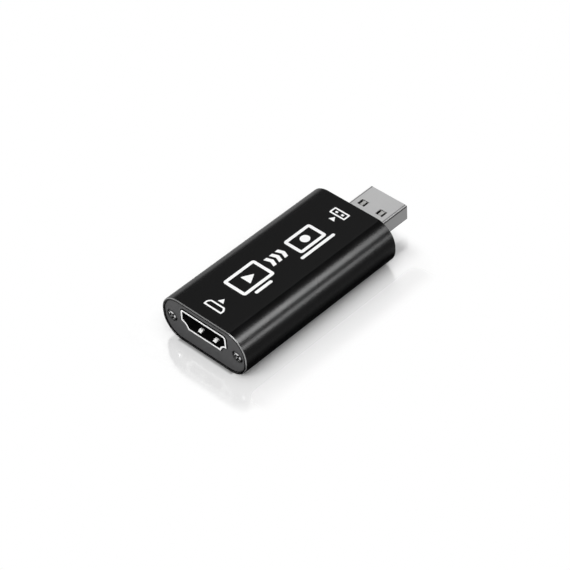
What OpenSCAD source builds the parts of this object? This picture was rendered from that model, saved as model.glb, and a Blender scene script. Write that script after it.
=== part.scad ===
// Video capture stick: a black metal sleeve with a wide video input socket at one end
// and a flat data plug at the other. All sizes are in millimetres.
// +X runs along the stick towards the plug, +Y to its left and +Z up.
// The origin lies on the flat underside, below the middle of the whole length.

/* [Housing sleeve] */
// Length of the sleeve
body_l = 52; // [48:0.5:70]
// Width across the round sides
body_w = 27.8; // [27:0.1:34]
// Height between the flat faces
body_h = 12.8; // [12:0.1:15]
// Radius of the long round edges
corner_r = 5.9; // [4:0.1:5.9]
// Thickness of the sleeve's wall
wall = 0.65; // [0.6:0.05:1.2]
// Chamfer round the rim at both ends
end_chamfer = 0.25; // [0.1:0.05:0.4]

/* [End covers] */
// Thickness of a cover plate
cover_t = 1.6; // [1.3:0.1:2.2]
// Depth of a cover's face inside the sleeve's end
cover_recess = 0.3; // [0.1:0.05:0.5]
// Gap between a cover and the sleeve
cover_gap = 0.1; // [0.05:0.01:0.15]
// Gap between a cover and the connector that passes through it
port_gap = 0.3; // [0.2:0.05:0.4]

/* [Cover screws] */
// Distance from the sleeve's inner side to a screw's axis
screw_inset = 2.45; // [1.9:0.05:2.6]
// Diameter of the shank
screw_d = 1.6; // [1.4:0.1:2]
// Length of the shank under the head
screw_l = 6; // [4:0.5:10]
// Diameter of the head
screw_head_d = 3.2; // [2.6:0.1:3.4]
// Height of the head
screw_head_h = 1.1; // [0.9:0.05:1.3]
// Height of the head's round crown
screw_crown_h = 0.55; // [0.3:0.05:0.6]
// Length of the cross recess from tip to tip
cross_l = 2.2; // [1.4:0.1:2.4]
// Width of the cross recess
cross_w = 0.45; // [0.3:0.05:0.5]
// Depth of the cross recess
cross_depth = 0.65; // [0.4:0.05:0.8]
// Turn of the cross recess from upright
cross_turn = 45; // [0:5:90]
// Gap round the head and the shank in the cover
screw_gap = 0.1; // [0.05:0.01:0.15]
// Gap between the shank and its channel in the sleeve
thread_gap = 0.02; // [0.01:0.01:0.05]
// Outer diameter of the screw channels inside the sleeve
channel_d = 3; // [2.8:0.1:3.8]
// Height of the web that joins a channel to the sleeve's side
channel_web = 2.2; // [1.5:0.1:2.8]

/* [Circuit board] */
// Height of the board's upper face above the underside of the sleeve
board_z = 4.75; // [4:0.05:4.9]
// Thickness of the board
board_t = 1.2; // [0.8:0.1:1.6]
// Gap above and below the board in its guides
board_gap = 0.1; // [0.05:0.01:0.15]
// Gap between the board's long edges and the sleeve
board_side_gap = 0.25; // [0.1:0.05:0.4]
// Gap between the board's ends and the covers
board_end_gap = 0.15; // [0.1:0.05:0.3]
// Thickness of the ledges under the board
ledge_t = 0.7; // [0.5:0.1:1]
// Width of the board's edge that a ledge holds
ledge_hold = 1; // [0.6:0.1:1.5]

/* [Input socket] */
// Width of the socket's mouth
socket_w = 14; // [13.6:0.1:14.4]
// Height of the socket's mouth
socket_h = 4.55; // [4.4:0.05:4.7]
// Radius of the hollow steps in the lower corners of the mouth
socket_step_r = 2.95; // [2.7:0.05:3.2]
// Distance of a step's centre beyond the mouth's side
socket_step_out = 0.85; // [0.6:0.05:1]
// Distance of a step's centre below the mouth's floor
socket_step_down = 0.95; // [0.7:0.05:1.2]
// Radius of the mouth's upper corners
socket_corner_r = 0.5; // [0.2:0.1:0.8]
// Thickness of the shell's sheet metal
socket_t = 0.45; // [0.3:0.01:0.45]
// Length of the shell
socket_l = 11.5; // [10.5:0.5:13]
// Depth of the shell's edge inside the sleeve's end
socket_recess = 0.1; // [0:0.05:0.2]
// Gap between the shell and the board
socket_lift = 0.33; // [0.3:0.01:0.45]
// Length of a solder leg along the shell
leg_l = 1.5; // [1:0.1:2]
// Reach of a solder leg below the board
leg_reach = 0.4; // [0.2:0.1:0.8]
// Gap round a solder leg in the board
leg_gap = 0.15; // [0.1:0.05:0.25]
// Width of the tongue
tongue_w = 10.9; // [10.4:0.1:11.4]
// Thickness of the tongue
tongue_t = 1.4; // [1.2:0.1:1.6]
// Gap between the tongue and the mouth's upper wall
tongue_drop = 1.25; // [1:0.05:1.4]
// Depth of the tongue's tip inside the shell
tongue_recess = 1.6; // [1:0.1:2.5]
// Length of the insulator's solid block behind the mouth
socket_block_l = 3.5; // [3:0.1:4]
// Spacing of the contacts in a row
contact_pitch = 1; // [0.9:0.05:1.05]
// Width of a contact
contact_w = 0.3; // [0.2:0.05:0.35]
// Thickness of a contact
contact_t = 0.2; // [0.15:0.01:0.25]
// Length of a contact's solder foot
contact_foot = 1.1; // [0.8:0.1:1.4]
// Distance from the tongue's tip to its contacts
contact_inset = 0.5; // [0.3:0.1:1]

/* [Socket springs] */
// Width of a spring finger
spring_w = 1.05; // [0.8:0.05:1.3]
// Length of a finger from its root to its tip
spring_l = 5.2; // [4.6:0.1:5.4]
// Length of the bent lip at the tip
spring_lip = 0.6; // [0.5:0.1:1.4]
// Rise of the finger's bend into the mouth
spring_rise = 0.3; // [0.25:0.01:0.4]
// Drop of the lip from the bend to the tip
spring_drop = 0.3; // [0.2:0.01:0.3]
// Distance from the shell's front edge to a finger's root
spring_root = 6.3; // [6.2:0.1:6.8]
// Spacing of the two lower fingers
spring_pitch_low = 5; // [4:0.1:6]
// Spacing of the two upper fingers
spring_pitch_up = 7; // [5:0.1:9]
// Gap round a finger in the shell
spring_gap = 0.12; // [0.08:0.01:0.2]
// Gap round a finger's rounded root
root_gap = 0.03; // [0.02:0.01:0.05]

/* [Output plug] */
// Width of the plug
plug_w = 12; // [11.8:0.1:12.2]
// Height of the plug
plug_h = 4.5; // [4.4:0.1:4.6]
// Thickness of the plug's sheet metal
plug_t = 0.3; // [0.25:0.01:0.35]
// Radius of the plug's long edges
plug_r = 0.4; // [0.4:0.05:0.8]
// Reach of the plug beyond the sleeve
plug_reach = 13; // [12.5:0.1:16]
// Length of the plug's shell inside the sleeve
plug_seat = 5.2; // [4.5:0.1:6]
// Gap between the plug's shell and the cut-out in the board
plug_gap = 0.15; // [0.1:0.05:0.25]
// Distance from the plug's tip to the windows
window_x = 5.2; // [4.8:0.1:6]
// Length of a window
window_l = 2; // [1.8:0.1:2.5]
// Width of a window
window_w = 2.2; // [2:0.1:2.8]
// Spacing of the windows
window_pitch = 6; // [5.4:0.1:6.6]
// Length of the key on the insulator that sits in a window
key_l = 1.7; // [1.4:0.1:1.7]
// Width of the key
key_w = 0.95; // [0.8:0.05:1.6]
// Depth of the key's face below the plug's face
key_drop = 0.08; // [0.05:0.01:0.15]
// Depth of the slots beside a key, below the plug's face
key_slot = 1.5; // [1:0.1:1.7]
// Depth of the insulator's tip inside the shell
plug_tip_recess = 0.4; // [0.2:0.1:0.8]
// Depth of the hollow in the plug
plug_hollow = 12.2; // [11.5:0.1:12.4]
// Spacing of the outer pair of plug contacts
power_pitch = 7; // [6.8:0.1:7.2]
// Spacing of the inner pair of plug contacts
signal_pitch = 2; // [1.8:0.1:2.2]
// Width of a plug contact
plug_contact_w = 1; // [0.8:0.1:1.1]
// Thickness of a plug contact
plug_contact_t = 0.25; // [0.2:0.01:0.3]
// Distance from the plug's tip to the outer contacts
power_inset = 1.2; // [1:0.1:1.5]
// Distance from the plug's tip to the inner contacts
signal_inset = 2.2; // [1.8:0.1:2.6]
// Length of a contact's tail on the board
plug_tail = 2.2; // [1.5:0.1:2.5]
// Length of a solder ear on the plug's shell
ear_l = 2; // [1.5:0.1:2.5]
// Reach of a solder ear over the board
ear_reach = 1.4; // [1:0.1:1.8]
// Width of the folded seam under the plug
seam_w = 0.06; // [0.04:0.01:0.1]
// Length of the dovetail in the seam
dovetail_l = 2.4; // [2:0.1:3]
// Width of the dovetail in the seam
dovetail_w = 1.5; // [1.2:0.1:2]

/* [Chips] */
// Clear space between neighbouring components on the board
part_gap = 1.2; // [0.6:0.1:1.4]
// Side of the capture chip
chip_s = 7; // [6:0.1:7]
// Thickness of the capture chip
chip_t = 1.2; // [0.8:0.1:1.4]
// Leads along each side of the capture chip
chip_lead_count = 12; // [8:1:12]
// Spacing of the capture chip's leads
chip_pitch = 0.5; // [0.4:0.05:0.5]
// Length of the memory chip
memory_l = 4.9; // [4:0.1:5]
// Width of the memory chip
memory_w = 3.9; // [3:0.1:4]
// Thickness of the memory chip
memory_t = 1.4; // [1:0.1:1.6]
// Spacing of the memory chip's leads
memory_pitch = 1.27; // [1:0.01:1.27]
// Gap between the underside of a chip and the board
chip_lift = 0.1; // [0.05:0.01:0.2]
// Reach of a lead from the chip's side
lead_reach = 1; // [0.8:0.05:1.1]
// Height at which a lead leaves the chip's side
lead_h = 0.55; // [0.4:0.05:0.6]
// Thickness of a lead
lead_t = 0.15; // [0.1:0.01:0.2]
// Length of a lead's level shoulder
lead_shoulder = 0.25; // [0.15:0.05:0.3]
// Length of a lead's foot
lead_foot = 0.45; // [0.3:0.05:0.5]

/* [Small components] */
// Length of the crystal
crystal_l = 5; // [3.2:0.1:5]
// Width of the crystal
crystal_w = 3.2; // [2.5:0.1:3.4]
// Thickness of the crystal's ceramic base
crystal_base_t = 0.7; // [0.5:0.1:1]
// Thickness of the crystal's metal lid
crystal_lid_t = 0.4; // [0.2:0.1:0.6]
// Width of the base's rim round the lid
crystal_rim = 0.25; // [0.1:0.05:0.4]
// Length of a regulator
regulator_l = 2.9; // [2.4:0.1:3]
// Width of a regulator
regulator_w = 1.4; // [1.2:0.1:1.6]
// Thickness of a regulator
regulator_t = 1; // [0.8:0.1:1.2]
// Spacing of the two leads on one side of a regulator
regulator_lead_pitch = 1.9; // [1.6:0.1:2]
// Number of surge arrays
surge_count = 3; // [2:1:4]
// Spacing of the surge arrays
surge_pitch = 4; // [3:0.1:4.5]
// Width of a surge array along the board
surge_l = 1; // [0.8:0.1:1.2]
// Length of a surge array across the board
surge_w = 2.5; // [2:0.1:2.6]
// Thickness of a surge array
surge_t = 0.5; // [0.4:0.05:0.7]
// Length of a capacitor or resistor
chip_part_l = 1.6; // [1:0.1:1.6]
// Width of a capacitor or resistor
chip_part_w = 0.8; // [0.5:0.05:0.9]
// Length of an end cap
end_cap_l = 0.3; // [0.2:0.05:0.4]
// Thickness of a capacitor
capacitor_t = 0.8; // [0.5:0.05:0.9]
// Thickness of a resistor
resistor_t = 0.45; // [0.3:0.05:0.6]
// Capacitors along each side of the capture chip
capacitor_count = 4; // [2:1:4]
// Spacing of the capacitors
capacitor_pitch = 2.3; // [2:0.1:2.4]
// Number of resistors
resistor_count = 8; // [4:1:10]
// Spacing of the resistors
resistor_pitch = 1.6; // [1.2:0.1:1.6]

/* [Hidden] */
$fn = 48;

// Overrun of a cut beyond the faces that it opens
over = 0.5;
// Slip fit of a moulded or pressed piece in its seat
slip = 0.02;

// Places along the stick
front_x = -(body_l + plug_reach) / 2;
rear_x = front_x + body_l;
tip_x = rear_x + plug_reach;
cover_back = cover_recess + cover_t;

// Screws: the crown of the head lies level with the sleeve's end
head_sink = screw_head_h - cover_recess;
screw_y = body_w / 2 - wall - screw_inset;
screw_z = board_z + board_gap + channel_d / 2;

// Board: it slides in under the screw channels and over the ledges
board_low = board_z - board_t;
board_half = inner_half(board_low) - board_side_gap;
board_start = front_x + cover_back + board_end_gap;
board_end = rear_x - cover_back - board_end_gap;

// Socket: heights of the mouth and places along the stick
mouth_low = board_z + socket_lift + socket_t;
mouth_high = mouth_low + socket_h;
socket_x = front_x + socket_recess;
socket_back = socket_x + socket_l;
block_x = socket_back - socket_block_l;
tongue_x = socket_x + tongue_recess;
tongue_high = mouth_high - tongue_drop;
tongue_low = tongue_high - tongue_t;
leg_places = [spring_root - leg_l, socket_l - leg_l];
contact_count_up = 10;
contact_count_low = 9;

// Plug: its middle is level with the board's upper face, where the contacts' tails lie
plug_z = board_z;
plug_back = rear_x - plug_seat;
block_front = tip_x - plug_hollow;

// Components: a chain from the socket's feet, and another from the plug's shell
surge_x = socket_back + contact_foot + part_gap + surge_l / 2;
resistor_x = surge_x + surge_l / 2 + part_gap + chip_part_l / 2;
chip_half = chip_s / 2 + lead_reach;
chip_x = resistor_x + chip_part_l / 2 + part_gap + chip_half;
capacitor_y = chip_half + part_gap + chip_part_w / 2;
memory_x = chip_x + chip_half + part_gap + memory_l / 2;
memory_y = (memory_w + part_gap) / 2 + lead_reach;
crystal_x = chip_x + chip_half + part_gap + crystal_l / 2;
crystal_y = crystal_w / 2 + part_gap;
supply_x = plug_back - part_gap - chip_part_l / 2;
regulator_x = supply_x - chip_part_l / 2 - part_gap - regulator_l / 2;
regulator_y = (power_pitch + plug_contact_w + regulator_w) / 2 + lead_reach + part_gap;

// Half the clear width inside the sleeve at height z below the middle of its round side
function inner_half(z) =
  let (r = corner_r - wall, rise = min(z - wall, r))
  body_w / 2 - corner_r + sqrt(r * r - (r - rise) * (r - rise));

// Outline of a gull-wing lead: distance from the chip's side, height above the board
function lead_outline() =
  let (bend = lead_reach - lead_foot)
  [
    [0, lead_h], [lead_shoulder, lead_h], [bend, 0], [lead_reach, 0], [lead_reach, lead_t],
    [bend + lead_t, lead_t], [lead_shoulder + lead_t, lead_h + lead_t], [0, lead_h + lead_t]
  ];

// Outline of the seam's dovetail, grown by g
function dovetail_outline(g) = [
  [-dovetail_l / 3 - g, -over], [-dovetail_l / 2 - g, dovetail_w + g],
  [dovetail_l / 2 + g, dovetail_w + g], [dovetail_l / 3 + g, -over]
];

// Extrude an outline in Y and Z along the stick
module along_x(from, to) {
  translate([from, 0, 0])
    rotate([90, 0, 90])
      linear_extrude(to - from)
        children();
}

// Extrude an outline in X and Z across the stick, about y = 0
module across_y(width) {
  translate([0, width / 2, 0])
    rotate([90, 0, 0])
      linear_extrude(width)
        children();
}

// A box from one corner to the opposite one
module block(low, high) {
  translate(low)
    cube(high - low);
}

// A cylinder along the stick
module rod(from, to, r) {
  translate([from, 0, 0])
    rotate([0, 90, 0])
      cylinder(h = to - from, r = r);
}

// Place children at both sides of the middle line
module both_sides(y) {
  for (side = [-1, 1])
    translate([0, side * y, 0])
      children();
}

// Place children, made from the sleeve's end inwards, at the input end or the output end
module at_input() {
  translate([front_x, 0, 0])
    children();
}

module at_output() {
  translate([rear_x, 0, 0])
    mirror([1, 0, 0])
      children();
}

// Rectangle with round corners, standing on y = 0
module round_box(w, h, r) {
  translate([-w / 2 + r, 0])
    square([w - 2 * r, h]);
  translate([-w / 2, r])
    square([w, h - 2 * r]);
  for (side = [-1, 1], z = [r, h - r])
    translate([side * (w / 2 - r), z])
      circle(r = r);
}

// Cross-section of the sleeve, drawn in by an inset
module body_outline(inset) {
  translate([0, inset])
    round_box(body_w - 2 * inset, body_h - 2 * inset, corner_r - inset);
}

// Cross-section of the socket's mouth, grown by g
module mouth_outline(g) {
  difference() {
    union() {
      translate([0, mouth_low - g])
        round_box(socket_w + 2 * g, socket_h + 2 * g, socket_corner_r + g);
      translate([-socket_w / 2 - g, mouth_low - g])
        square([socket_w + 2 * g, socket_h / 2]);
    }
    for (side = [-1, 1])
      translate([side * (socket_w / 2 + socket_step_out), mouth_low - socket_step_down])
        circle(r = socket_step_r - g);
  }
}

// Cross-section of the plug, grown by g
module plug_outline(g) {
  translate([0, plug_z - plug_h / 2 - g])
    round_box(plug_w + 2 * g, plug_h + 2 * g, plug_r + g);
}

// Cutter for the chamfer round the sleeve's rim at x = 0
module rim_cutter() {
  reach = end_chamfer + over;
  edge = [[-over, -reach], [-over, over], [reach, over]];
  for (top = [0, 1])
    translate([0, 0, top * body_h])
      mirror([0, 0, 1 - top])
        across_y(body_w - 2 * corner_r)
          polygon(edge);
  for (side = [0, 1])
    mirror([0, side, 0])
      translate([0, body_w / 2, corner_r])
        linear_extrude(body_h - 2 * corner_r)
          polygon(edge);
  for (quarter = [0:3])
    translate([0, (quarter < 2 ? 1 : -1) * (body_w / 2 - corner_r),
               quarter == 0 || quarter == 3 ? corner_r : body_h - corner_r])
      rotate([0, 90, 0])
        rotate([0, 0, 90 * quarter])
          rotate_extrude(angle = 90)
            polygon([for (p = edge) [corner_r + p.y, p.x]]);
}

// Screw channels and board ledges inside the sleeve
module guide_outline() {
  intersection() {
    body_outline(wall / 2);
    for (side = [-1, 1])
      mirror([side < 0 ? 1 : 0, 0]) {
        translate([screw_y, screw_z])
          circle(d = channel_d);
        translate([screw_y, screw_z - channel_web / 2])
          square([body_w, channel_web]);
        translate([board_half - ledge_hold, board_low - board_gap - ledge_t])
          square([body_w, ledge_t]);
      }
  }
}

module housing_sleeve() {
  color("#1c1c1d")
    difference() {
      union() {
        along_x(front_x, rear_x)
          difference() {
            body_outline(0);
            body_outline(wall);
          }
        along_x(front_x + cover_back, rear_x - cover_back)
          guide_outline();
      }
      both_sides(screw_y)
        translate([0, 0, screw_z])
          rod(front_x, rear_x, screw_d / 2 + thread_gap);
      at_input()
        rim_cutter();
      at_output()
        rim_cutter();
    }
}

// Cover plate made from the sleeve's end inwards, with seats for its two screws
module cover_plate() {
  difference() {
    along_x(cover_recess, cover_back)
      body_outline(wall + cover_gap);
    both_sides(screw_y)
      translate([0, 0, screw_z]) {
        rod(0, cover_back + over, screw_d / 2 + screw_gap);
        rod(0, cover_recess + head_sink, screw_head_d / 2 + screw_gap);
      }
  }
}

module input_cover() {
  color("#3b3b3d")
    difference() {
      at_input()
        cover_plate();
      along_x(front_x, front_x + cover_back + over)
        mouth_outline(socket_t + port_gap);
    }
}

module output_cover() {
  color("#3b3b3d")
    difference() {
      at_output()
        cover_plate();
      along_x(rear_x - cover_back - over, rear_x)
        plug_outline(port_gap);
    }
}

// Pan-head screw along X, with the top of its crown at x = 0
module cover_screw() {
  crown_r = (pow(screw_head_d / 2, 2) + pow(screw_crown_h, 2)) / (2 * screw_crown_h);
  end_x = screw_head_h + screw_l;
  difference() {
    union() {
      intersection() {
        rod(0, screw_head_h, screw_head_d / 2);
        translate([crown_r, 0, 0])
          sphere(r = crown_r);
      }
      rod(screw_head_h, end_x - screw_d / 2, screw_d / 2);
      translate([end_x - screw_d / 2, 0, 0])
        rotate([0, 90, 0])
          cylinder(h = screw_d / 2, r1 = screw_d / 2, r2 = screw_d / 4);
    }
    for (turn = [0, 90])
      rotate([cross_turn + turn, 0, 0])
        block([-over, -cross_l / 2, -cross_w / 2], [cross_depth, cross_l / 2, cross_w / 2]);
  }
}

module screw_pair() {
  both_sides(screw_y)
    translate([0, 0, screw_z])
      cover_screw();
}

module input_cover_screws() {
  color("#2a2a2c")
    at_input()
      screw_pair();
}

module output_cover_screws() {
  color("#2a2a2c")
    at_output()
      screw_pair();
}

module circuit_board() {
  cut_half = plug_w / 2 + plug_gap;
  slot_w = socket_t + 2 * leg_gap;
  color("#0f4a2c")
    translate([0, 0, board_low])
      linear_extrude(board_t)
        difference() {
          translate([board_start, -board_half])
            square([board_end - board_start, 2 * board_half]);
          translate([plug_back - plug_gap, -cut_half])
            square([plug_seat, 2 * cut_half]);
          for (x = leg_places, side = [-1, 1])
            translate([socket_x + x - leg_gap, side * (socket_w + socket_t) / 2 - slot_w / 2])
              square([leg_l + 2 * leg_gap, slot_w]);
        }
}

// Room for one spring finger in the shell's wall, root at the origin and tip towards -X
module spring_window() {
  half_w = spring_w / 2 + spring_gap;
  block([-spring_l - socket_t / 2 - spring_gap, -half_w, -socket_t],
        [0, half_w, socket_t]);
  across_y(2 * half_w)
    circle(d = socket_t + 2 * root_gap);
}

// Place a lower finger, or a mirrored upper one, at its root in the shell's wall
module at_lower_spring(side) {
  translate([socket_x + spring_root, side * spring_pitch_low / 2, mouth_low - socket_t / 2])
    children();
}

module at_upper_spring(side) {
  translate([socket_x + spring_root, side * spring_pitch_up / 2, mouth_high + socket_t / 2])
    mirror([0, 0, 1])
      children();
}

// Spring finger: a strip that rises from its root to a bend and drops again to a lip
module spring_finger() {
  bend = [spring_lip - spring_l, spring_rise];
  tip = [-spring_l, spring_rise - spring_drop];
  across_y(spring_w) {
    strip([0, 0], bend, socket_t);
    strip(bend, tip, socket_t);
  }
}

// Flat strip of even thickness with round ends
module strip(from, to, t) {
  run = to - from;
  for (p = [from, to])
    translate(p)
      circle(d = t);
  translate(from)
    rotate(atan2(run.y, run.x))
      translate([0, -t / 2])
        square([norm(run), t]);
}

module socket_shell() {
  color("#d8d8d8")
    difference() {
      union() {
        along_x(socket_x, socket_back)
          difference() {
            mouth_outline(socket_t);
            mouth_outline(0);
          }
        for (x = leg_places, side = [-1, 1])
          translate([socket_x + x, side * (socket_w + socket_t) / 2 - socket_t / 2,
                     board_low - leg_reach])
            cube([leg_l, socket_t, mouth_low + socket_h / 2 - board_low + leg_reach]);
      }
      for (side = [-1, 1]) {
        at_lower_spring(side)
          spring_window();
        at_upper_spring(side)
          spring_window();
      }
    }
}

module socket_spring_top_left() {
  color("#e4e4e4")
    at_upper_spring(1)
      spring_finger();
}

module socket_spring_top_right() {
  color("#e4e4e4")
    at_upper_spring(-1)
      spring_finger();
}

module socket_spring_bottom_left() {
  color("#e4e4e4")
    at_lower_spring(1)
      spring_finger();
}

module socket_spring_bottom_right() {
  color("#e4e4e4")
    at_lower_spring(-1)
      spring_finger();
}

// Outline in X and Z of a socket contact whose strip lies between two heights, grown by g
module contact_outline(low, g) {
  start = tongue_x + contact_inset;
  translate([start - g, low - g])
    square([socket_back + contact_t - start + 2 * g, contact_t + 2 * g]);
  translate([socket_back, board_z])
    square([contact_t, low - board_z + contact_t]);
  translate([socket_back, board_z])
    square([contact_foot, contact_t]);
}

// Row of contacts on the tongue, grown by g
module contact_row(count, low, g) {
  for (i = [0:count - 1])
    translate([0, (i - (count - 1) / 2) * contact_pitch, 0])
      across_y(contact_w + 2 * g)
        contact_outline(low, g);
}

module upper_contacts(g) {
  contact_row(contact_count_up, tongue_high - contact_t, g);
}

module lower_contacts(g) {
  contact_row(contact_count_low, tongue_low, g);
}

module socket_insulator() {
  color("#161617")
    difference() {
      union() {
        along_x(block_x, socket_back - slip)
          mouth_outline(-slip);
        block([tongue_x, -tongue_w / 2, tongue_low], [socket_back - slip, tongue_w / 2, tongue_high]);
      }
      upper_contacts(slip);
      lower_contacts(slip);
    }
}

module socket_contacts_upper() {
  color("#d8b45a")
    upper_contacts(0);
}

module socket_contacts_lower() {
  color("#d8b45a")
    lower_contacts(0);
}

// Folded seam under the plug: a straight slit with one dovetail
module plug_seam() {
  seam_x = (tip_x + rear_x) / 2;
  foot = dovetail_l / 3 + seam_w / 2;
  translate([0, 0, plug_z - plug_h / 2 - over])
    linear_extrude(plug_t + 2 * over) {
      translate([plug_back - over, -seam_w / 2])
        square([seam_x - foot - plug_back + over + seam_w, seam_w]);
      translate([seam_x + foot - seam_w, -seam_w / 2])
        square([tip_x - seam_x - foot + over + seam_w, seam_w]);
      translate([seam_x, 0])
        intersection() {
          difference() {
            polygon(dovetail_outline(seam_w / 2));
            polygon(dovetail_outline(-seam_w / 2));
          }
          translate([-dovetail_l, -seam_w / 2])
            square([2 * dovetail_l, 2 * dovetail_w]);
        }
    }
}

module plug_shell() {
  window_low = plug_z - plug_h / 2 - over;
  color("#c4c4c6")
    difference() {
      union() {
        along_x(plug_back, tip_x)
          difference() {
            plug_outline(0);
            plug_outline(-plug_t);
          }
        both_sides((plug_w + ear_reach - plug_t) / 2)
          block([plug_back, -(ear_reach + plug_t) / 2, plug_z],
                [plug_back + ear_l, (ear_reach + plug_t) / 2, plug_z + plug_t]);
      }
      both_sides(window_pitch / 2)
        block([tip_x - window_x - window_l, -window_w / 2, window_low],
              [tip_x - window_x, window_w / 2, window_low + plug_h + 2 * over]);
      plug_seam();
    }
}

// The four plug contacts, grown by g
module plug_contact_set(g) {
  for (pair = [[power_pitch, power_inset], [signal_pitch, signal_inset]])
    both_sides(pair[0] / 2)
      block([plug_back - plug_tail, -plug_contact_w / 2 - g, plug_z - g],
            [tip_x - pair[1] + g, plug_contact_w / 2 + g, plug_z + plug_contact_t + g]);
}

module plug_insulator() {
  top = plug_z + plug_h / 2;
  window_mid = tip_x - window_x - window_l / 2;
  color("#d5d5d2")
    difference() {
      union() {
        intersection() {
          along_x(plug_back + slip, tip_x - plug_tip_recess)
            plug_outline(-plug_t - slip);
          block([plug_back, -plug_w, plug_z], [tip_x, plug_w, plug_z + plug_h]);
        }
        along_x(plug_back + slip, block_front)
          plug_outline(-plug_t - slip);
        both_sides(window_pitch / 2)
          block([window_mid - key_l / 2, -key_w / 2, plug_z + plug_t],
                [window_mid + key_l / 2, key_w / 2, top - key_drop]);
      }
      both_sides(window_pitch / 2)
        both_sides((window_w + key_w) / 4)
          block([window_mid - window_l / 2, -(window_w - key_w) / 4, top - key_slot],
                [window_mid + window_l / 2, (window_w - key_w) / 4, top]);
      plug_contact_set(slip);
    }
}

module plug_contacts() {
  color("#d8b45a")
    plug_contact_set(0);
}

// Row of leads along the +Y side of a chip, from the chip's side outwards
module lead_row(count, pitch, w) {
  for (i = [0:count - 1])
    translate([(i - (count - 1) / 2) * pitch, 0, board_z])
      rotate([0, 0, 90])
        across_y(w)
          polygon(lead_outline());
}

// Moulded body of a chip that stands on its leads
module chip_body(l, w, t) {
  block([-l / 2, -w / 2, board_z + chip_lift], [l / 2, w / 2, board_z + chip_lift + t]);
}

module capture_chip() {
  color("#1e1e20")
    translate([chip_x, 0, 0])
      chip_body(chip_s, chip_s, chip_t);
}

module capture_chip_leads() {
  lead_w = chip_pitch / 2;
  color("#bdbdbd")
    translate([chip_x, 0, 0])
      for (turn = [0:90:270])
        rotate([0, 0, turn])
          translate([0, chip_s / 2, 0])
            lead_row(chip_lead_count, chip_pitch, lead_w);
}

module memory_chip() {
  color("#1e1e20")
    translate([memory_x, -memory_y, 0])
      chip_body(memory_l, memory_w, memory_t);
}

module memory_chip_leads() {
  lead_w = memory_pitch / 3;
  color("#bdbdbd")
    translate([memory_x, -memory_y, 0])
      for (turn = [0, 180])
        rotate([0, 0, turn])
          translate([0, memory_w / 2, 0])
            lead_row(4, memory_pitch, lead_w);
}

module crystal_base() {
  color("#8a7a5c")
    translate([crystal_x, crystal_y, board_z])
      block([-crystal_l / 2, -crystal_w / 2, 0], [crystal_l / 2, crystal_w / 2, crystal_base_t]);
}

module crystal_lid() {
  lid_l = crystal_l / 2 - crystal_rim;
  lid_w = crystal_w / 2 - crystal_rim;
  color("#c9c9c4")
    translate([crystal_x, crystal_y, board_z + crystal_base_t])
      block([-lid_l, -lid_w, 0], [lid_l, lid_w, crystal_lid_t]);
}

// Place children at the two regulators
module at_regulators() {
  both_sides(regulator_y)
    translate([regulator_x, 0, 0])
      children();
}

module voltage_regulators() {
  color("#1e1e20")
    at_regulators()
      chip_body(regulator_l, regulator_w, regulator_t);
}

module voltage_regulator_leads() {
  lead_w = regulator_lead_pitch / 4;
  color("#bdbdbd")
    at_regulators() {
      translate([0, regulator_w / 2, 0])
        lead_row(2, regulator_lead_pitch, lead_w);
      rotate([0, 0, 180])
        translate([0, regulator_w / 2, 0])
          lead_row(1, regulator_lead_pitch, lead_w);
    }
}

module surge_arrays() {
  color("#1e1e20")
    for (i = [0:surge_count - 1])
      translate([surge_x, (i - (surge_count - 1) / 2) * surge_pitch, board_z])
        block([-surge_l / 2, -surge_w / 2, 0], [surge_l / 2, surge_w / 2, surge_t]);
}

// Middle of a capacitor or resistor, between its end caps
module part_middle(t) {
  half = chip_part_l / 2 - end_cap_l;
  block([-half, -chip_part_w / 2, board_z], [half, chip_part_w / 2, board_z + t]);
}

// The two end caps of a capacitor or resistor
module part_ends(t) {
  for (turn = [0, 180])
    rotate([0, 0, turn])
      block([chip_part_l / 2 - end_cap_l, -chip_part_w / 2, board_z],
            [chip_part_l / 2, chip_part_w / 2, board_z + t]);
}

// Place children at each capacitor: beside the capture chip, then beside the plug's tails
module at_capacitors() {
  both_sides(capacitor_y) {
    for (i = [0:capacitor_count - 1])
      translate([chip_x + (i - (capacitor_count - 1) / 2) * capacitor_pitch, 0, 0])
        children();
    translate([supply_x, 0, 0])
      children();
  }
}

// Place children at each resistor
module at_resistors() {
  for (i = [0:resistor_count - 1])
    translate([resistor_x, (i - (resistor_count - 1) / 2) * resistor_pitch, 0])
      children();
}

module capacitor_bodies() {
  color("#b08d5e")
    at_capacitors()
      part_middle(capacitor_t);
}

module capacitor_ends() {
  color("#c8c8c8")
    at_capacitors()
      part_ends(capacitor_t);
}

module resistor_bodies() {
  color("#232326")
    at_resistors()
      part_middle(resistor_t);
}

module resistor_ends() {
  color("#c8c8c8")
    at_resistors()
      part_ends(resistor_t);
}

housing_sleeve();
input_cover();
output_cover();
input_cover_screws();
output_cover_screws();
circuit_board();
socket_shell();
socket_insulator();
socket_contacts_upper();
socket_contacts_lower();
socket_spring_top_left();
socket_spring_top_right();
socket_spring_bottom_left();
socket_spring_bottom_right();
plug_shell();
plug_insulator();
plug_contacts();
capture_chip();
capture_chip_leads();
memory_chip();
memory_chip_leads();
crystal_base();
crystal_lid();
voltage_regulators();
voltage_regulator_leads();
surge_arrays();
capacitor_bodies();
capacitor_ends();
resistor_bodies();
resistor_ends();
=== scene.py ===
"""Finishes, soft edges, lid pictograms and a small studio for a video capture stick.

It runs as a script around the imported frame. All places are in metres in the frame's own axes:
+X along the stick towards the data plug, +Y to its left, +Z up from its flat underside.
Finishes and pictograms are worked out in millimetres.
"""

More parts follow.
